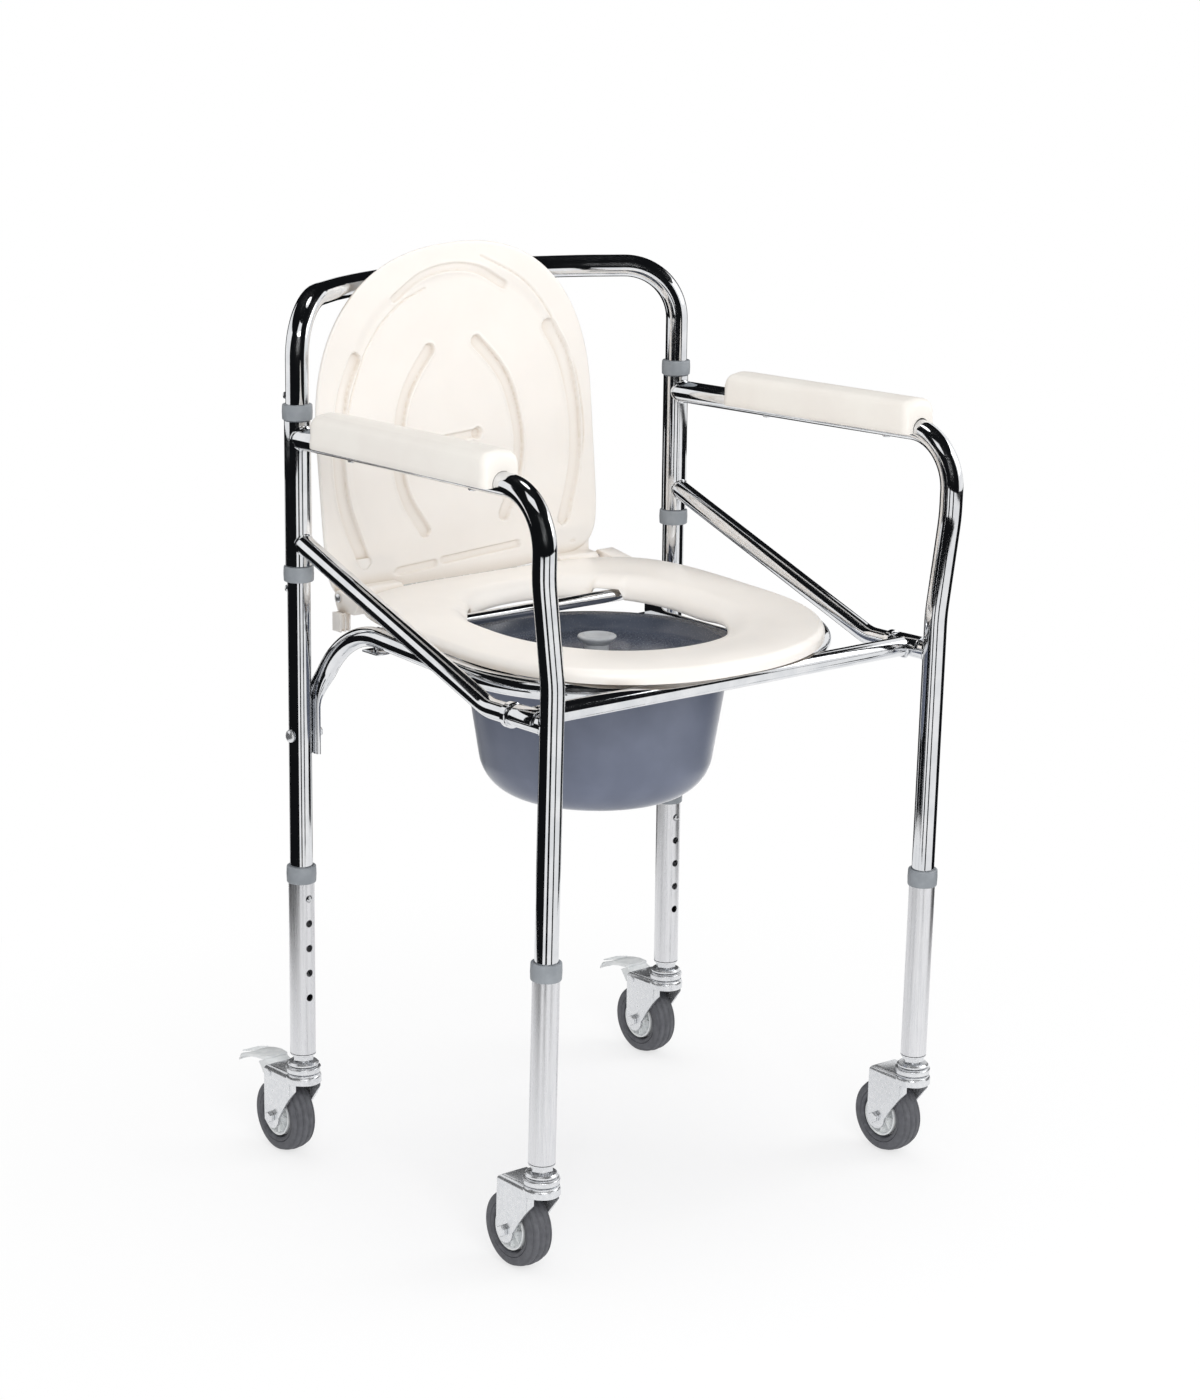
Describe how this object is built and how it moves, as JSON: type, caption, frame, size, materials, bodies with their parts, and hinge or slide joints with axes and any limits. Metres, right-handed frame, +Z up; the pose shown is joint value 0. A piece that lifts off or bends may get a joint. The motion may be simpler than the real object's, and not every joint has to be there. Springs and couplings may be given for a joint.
{
  "type": "wheeled commode chair",
  "caption": "Chromed tube commode chair on swivel casters, with a lidded seat ring over a sliding bucket, arm pads and height-adjustable legs.",
  "frame": {"origin": "floor, under the middle of the chair's outline seen from above", "axes": "+Z up; -Y is the way the seat faces; +X is to the right of a viewer who stands in front of the chair"},
  "size_m": [0.5382, 0.5003, 0.8926],
  "materials": {
    "chrome": "bright plated steel tube",
    "collar": "grey moulded collar",
    "satin_tube": "satin anodised tube",
    "zinc": "bright zinc-plated pressed steel",
    "white_plastic": "white moulded plastic",
    "pad_plastic": "off-white moulded plastic",
    "tyre": "dark grey rubber tread",
    "wheel_hub": "pale grey moulded wheel",
    "pedal": "pale grey moulded pedal",
    "bucket": "moulded plastic pail",
    "bucket_lid": "dark grey-blue moulded lid",
    "spring_steel": "bright spring strip and button"
  },
  "bodies": {
    "frame": {"back_frame": "chrome", "pivot_collar_upper_left": "collar", "pivot_collar_upper_right": "collar", "pivot_collar_lower_left": "collar", "pivot_collar_lower_right": "collar", "pivot_bolt_left": "zinc", "pivot_bolt_right": "zinc"},
    "seat": {"seat_frame": "chrome", "seat_ring": "white_plastic"},
    "hinge_pin": {"lid_hinge_pin": "zinc"},
    "lid": {"seat_lid": "white_plastic"},
    "side_left": {"side_frame_left": "chrome", "arm_pad_left": "pad_plastic", "pad_screw_rear_left": "zinc", "pad_screw_front_left": "zinc"},
    "side_right": {"side_frame_right": "chrome", "arm_pad_right": "pad_plastic", "pad_screw_rear_right": "zinc", "pad_screw_front_right": "zinc"},
    "bucket": {"bucket": "bucket"},
    "bucket_lid": {"bucket_lid": "bucket_lid"},
    "extension_rear_left": {"leg_extension_rear_left": "satin_tube", "leg_collar_rear_left": "collar", "caster_stem_rear_left": "zinc"},
    "caster_rear_left": {"caster_fork_rear_left": "zinc", "caster_axle_rear_left": "zinc"},
    "wheel_rear_left": {"caster_hub_rear_left": "wheel_hub", "caster_tyre_rear_left": "tyre"},
    "leg_clip_rear_left": {"leg_clip_rear_left": "spring_steel"},
    "brake_pedal_rear_left": {"brake_pedal_rear_left": "pedal"},
    "extension_rear_right": {"leg_extension_rear_right": "satin_tube", "leg_collar_rear_right": "collar", "caster_stem_rear_right": "zinc"},
    "caster_rear_right": {"caster_fork_rear_right": "zinc", "caster_axle_rear_right": "zinc"},
    "wheel_rear_right": {"caster_hub_rear_right": "wheel_hub", "caster_tyre_rear_right": "tyre"},
    "leg_clip_rear_right": {"leg_clip_rear_right": "spring_steel"},
    "brake_pedal_rear_right": {"brake_pedal_rear_right": "pedal"},
    "extension_front_left": {"leg_extension_front_left": "satin_tube", "leg_collar_front_left": "collar", "caster_stem_front_left": "zinc"},
    "caster_front_left": {"caster_fork_front_left": "zinc", "caster_axle_front_left": "zinc"},
    "wheel_front_left": {"caster_hub_front_left": "wheel_hub", "caster_tyre_front_left": "tyre"},
    "leg_clip_front_left": {"leg_clip_front_left": "spring_steel"},
    "extension_front_right": {"leg_extension_front_right": "satin_tube", "leg_collar_front_right": "collar", "caster_stem_front_right": "zinc"},
    "caster_front_right": {"caster_fork_front_right": "zinc", "caster_axle_front_right": "zinc"},
    "wheel_front_right": {"caster_hub_front_right": "wheel_hub", "caster_tyre_front_right": "tyre"},
    "leg_clip_front_right": {"leg_clip_front_right": "spring_steel"},
    "post_clip_upper_left": {"post_clip_upper_left": "spring_steel"},
    "post_clip_lower_left": {"post_clip_lower_left": "spring_steel"},
    "post_clip_upper_right": {"post_clip_upper_right": "spring_steel"},
    "post_clip_lower_right": {"post_clip_lower_right": "spring_steel"}
  },
  "joints": [
    {"name": "seat_fold", "type": "hinge", "parent": "frame", "child": "seat", "pos_m": [0, 0.14987, 0.4355], "axis": [-1, 0, 0], "range_deg": [0, 67]},
    {"name": "lid_follows_seat", "type": "hinge", "parent": "seat", "child": "hinge_pin", "pos_m": [0, 0.17187, 0.55857], "axis": [-1, 0, 0], "range_deg": [-93.89, 0]},
    {"name": "lid_close", "type": "hinge", "parent": "hinge_pin", "child": "lid", "pos_m": [0, 0.17187, 0.55857], "axis": [-1, 0, 0], "range_deg": [-93.84, 0]},
    {"name": "side_left_swing", "type": "hinge", "parent": "frame", "child": "side_left", "pos_m": [-0.2375, 0.14987, 0.67], "axis": [0, 0, -1], "range_deg": [0, 14.3]},
    {"name": "side_right_swing", "type": "hinge", "parent": "frame", "child": "side_right", "pos_m": [0.2375, 0.14987, 0.67], "axis": [0, 0, 1], "range_deg": [0, 14.3]},
    {"name": "bucket_slide", "type": "slide", "parent": "seat", "child": "bucket", "axis": [0, 1, 0], "range_m": [0, 0.25]},
    {"name": "bucket_lid_lift", "type": "slide", "parent": "bucket", "child": "bucket_lid", "axis": [0, 0, -1], "range_m": [-0.01, 0]},
    {"name": "height_rear_left", "type": "slide", "parent": "frame", "child": "extension_rear_left", "axis": [0, 0, 1], "range_m": [0, 0.1016], "deforming": ["leg_clip_rear_left"]},
    {"name": "press_rear_left", "type": "slide", "parent": "frame", "child": "leg_clip_rear_left", "axis": [0, 1, 0], "range_m": [0, 0.0045], "stiffness_N_per_m": 800, "springref_m": -0.002, "deforming": ["leg_clip_rear_left"]},
    {"name": "swivel_rear_left", "type": "hinge", "parent": "extension_rear_left", "child": "caster_rear_left", "pos_m": [-0.2375, 0.14987, 0.098], "axis": [0, 0, 1], "continuous": true},
    {"name": "roll_rear_left", "type": "hinge", "parent": "caster_rear_left", "child": "wheel_rear_left", "pos_m": [-0.2375, 0.18107, 0.0375], "axis": [1, 0, 0], "continuous": true},
    {"name": "brake_rear_left", "type": "hinge", "parent": "caster_rear_left", "child": "brake_pedal_rear_left", "pos_m": [-0.2375, 0.18487, 0.0825], "axis": [-1, 0, 0], "range_deg": [0, 8]},
    {"name": "height_rear_right", "type": "slide", "parent": "frame", "child": "extension_rear_right", "axis": [0, 0, 1], "range_m": [0, 0.1016], "deforming": ["leg_clip_rear_right"]},
    {"name": "press_rear_right", "type": "slide", "parent": "frame", "child": "leg_clip_rear_right", "axis": [0, 1, 0], "range_m": [0, 0.0045], "stiffness_N_per_m": 800, "springref_m": -0.002, "deforming": ["leg_clip_rear_right"]},
    {"name": "swivel_rear_right", "type": "hinge", "parent": "extension_rear_right", "child": "caster_rear_right", "pos_m": [0.2375, 0.14987, 0.098], "axis": [0, 0, 1], "continuous": true},
    {"name": "roll_rear_right", "type": "hinge", "parent": "caster_rear_right", "child": "wheel_rear_right", "pos_m": [0.2375, 0.18107, 0.0375], "axis": [1, 0, 0], "continuous": true},
    {"name": "brake_rear_right", "type": "hinge", "parent": "caster_rear_right", "child": "brake_pedal_rear_right", "pos_m": [0.2375, 0.18487, 0.0825], "axis": [-1, 0, 0], "range_deg": [0, 8]},
    {"name": "height_front_left", "type": "slide", "parent": "side_left", "child": "extension_front_left", "axis": [0, -0.022, 0.9998], "range_m": [0, 0.1016], "deforming": ["leg_clip_front_left"]},
    {"name": "press_front_left", "type": "slide", "parent": "side_left", "child": "leg_clip_front_left", "axis": [0, -0.9998, -0.022], "range_m": [0, 0.0045], "stiffness_N_per_m": 800, "springref_m": -0.002, "deforming": ["leg_clip_front_left"]},
    {"name": "swivel_front_left", "type": "hinge", "parent": "extension_front_left", "child": "caster_front_left", "pos_m": [-0.2375, -0.22579, 0.09798], "axis": [0, -0.022, 0.9998], "continuous": true},
    {"name": "roll_front_left", "type": "hinge", "parent": "caster_front_left", "child": "wheel_front_left", "pos_m": [-0.2375, -0.19327, 0.03818], "axis": [1, 0, 0], "continuous": true},
    {"name": "height_front_right", "type": "slide", "parent": "side_right", "child": "extension_front_right", "axis": [0, -0.022, 0.9998], "range_m": [0, 0.1016], "deforming": ["leg_clip_front_right"]},
    {"name": "press_front_right", "type": "slide", "parent": "side_right", "child": "leg_clip_front_right", "axis": [0, -0.9998, -0.022], "range_m": [0, 0.0045], "stiffness_N_per_m": 800, "springref_m": -0.002, "deforming": ["leg_clip_front_right"]},
    {"name": "swivel_front_right", "type": "hinge", "parent": "extension_front_right", "child": "caster_front_right", "pos_m": [0.2375, -0.22579, 0.09798], "axis": [0, -0.022, 0.9998], "continuous": true},
    {"name": "roll_front_right", "type": "hinge", "parent": "caster_front_right", "child": "wheel_front_right", "pos_m": [0.2375, -0.19327, 0.03818], "axis": [1, 0, 0], "continuous": true},
    {"name": "press_post_upper_left", "type": "slide", "parent": "frame", "child": "post_clip_upper_left", "axis": [0.7071, -0.7071, 0], "range_m": [0, 0.004], "stiffness_N_per_m": 800, "springref_m": -0.002, "deforming": ["post_clip_upper_left"]},
    {"name": "press_post_lower_left", "type": "slide", "parent": "frame", "child": "post_clip_lower_left", "axis": [0.7071, -0.7071, 0], "range_m": [0, 0.004], "stiffness_N_per_m": 800, "springref_m": -0.002, "deforming": ["post_clip_lower_left"]},
    {"name": "press_post_upper_right", "type": "slide", "parent": "frame", "child": "post_clip_upper_right", "axis": [-0.7071, -0.7071, 0], "range_m": [0, 0.004], "stiffness_N_per_m": 800, "springref_m": -0.002, "deforming": ["post_clip_upper_right"]},
    {"name": "press_post_lower_right", "type": "slide", "parent": "frame", "child": "post_clip_lower_right", "axis": [-0.7071, -0.7071, 0], "range_m": [0, 0.004], "stiffness_N_per_m": 800, "springref_m": -0.002, "deforming": ["post_clip_lower_right"]}
  ],
  "couplings": [
    {"joint": "lid_follows_seat", "follows": "seat_fold", "ratio": -1.4006},
    {"joint": "side_left_swing", "follows": "seat_fold", "ratio": 0.2119},
    {"joint": "side_right_swing", "follows": "seat_fold", "ratio": 0.2119}
  ]
}
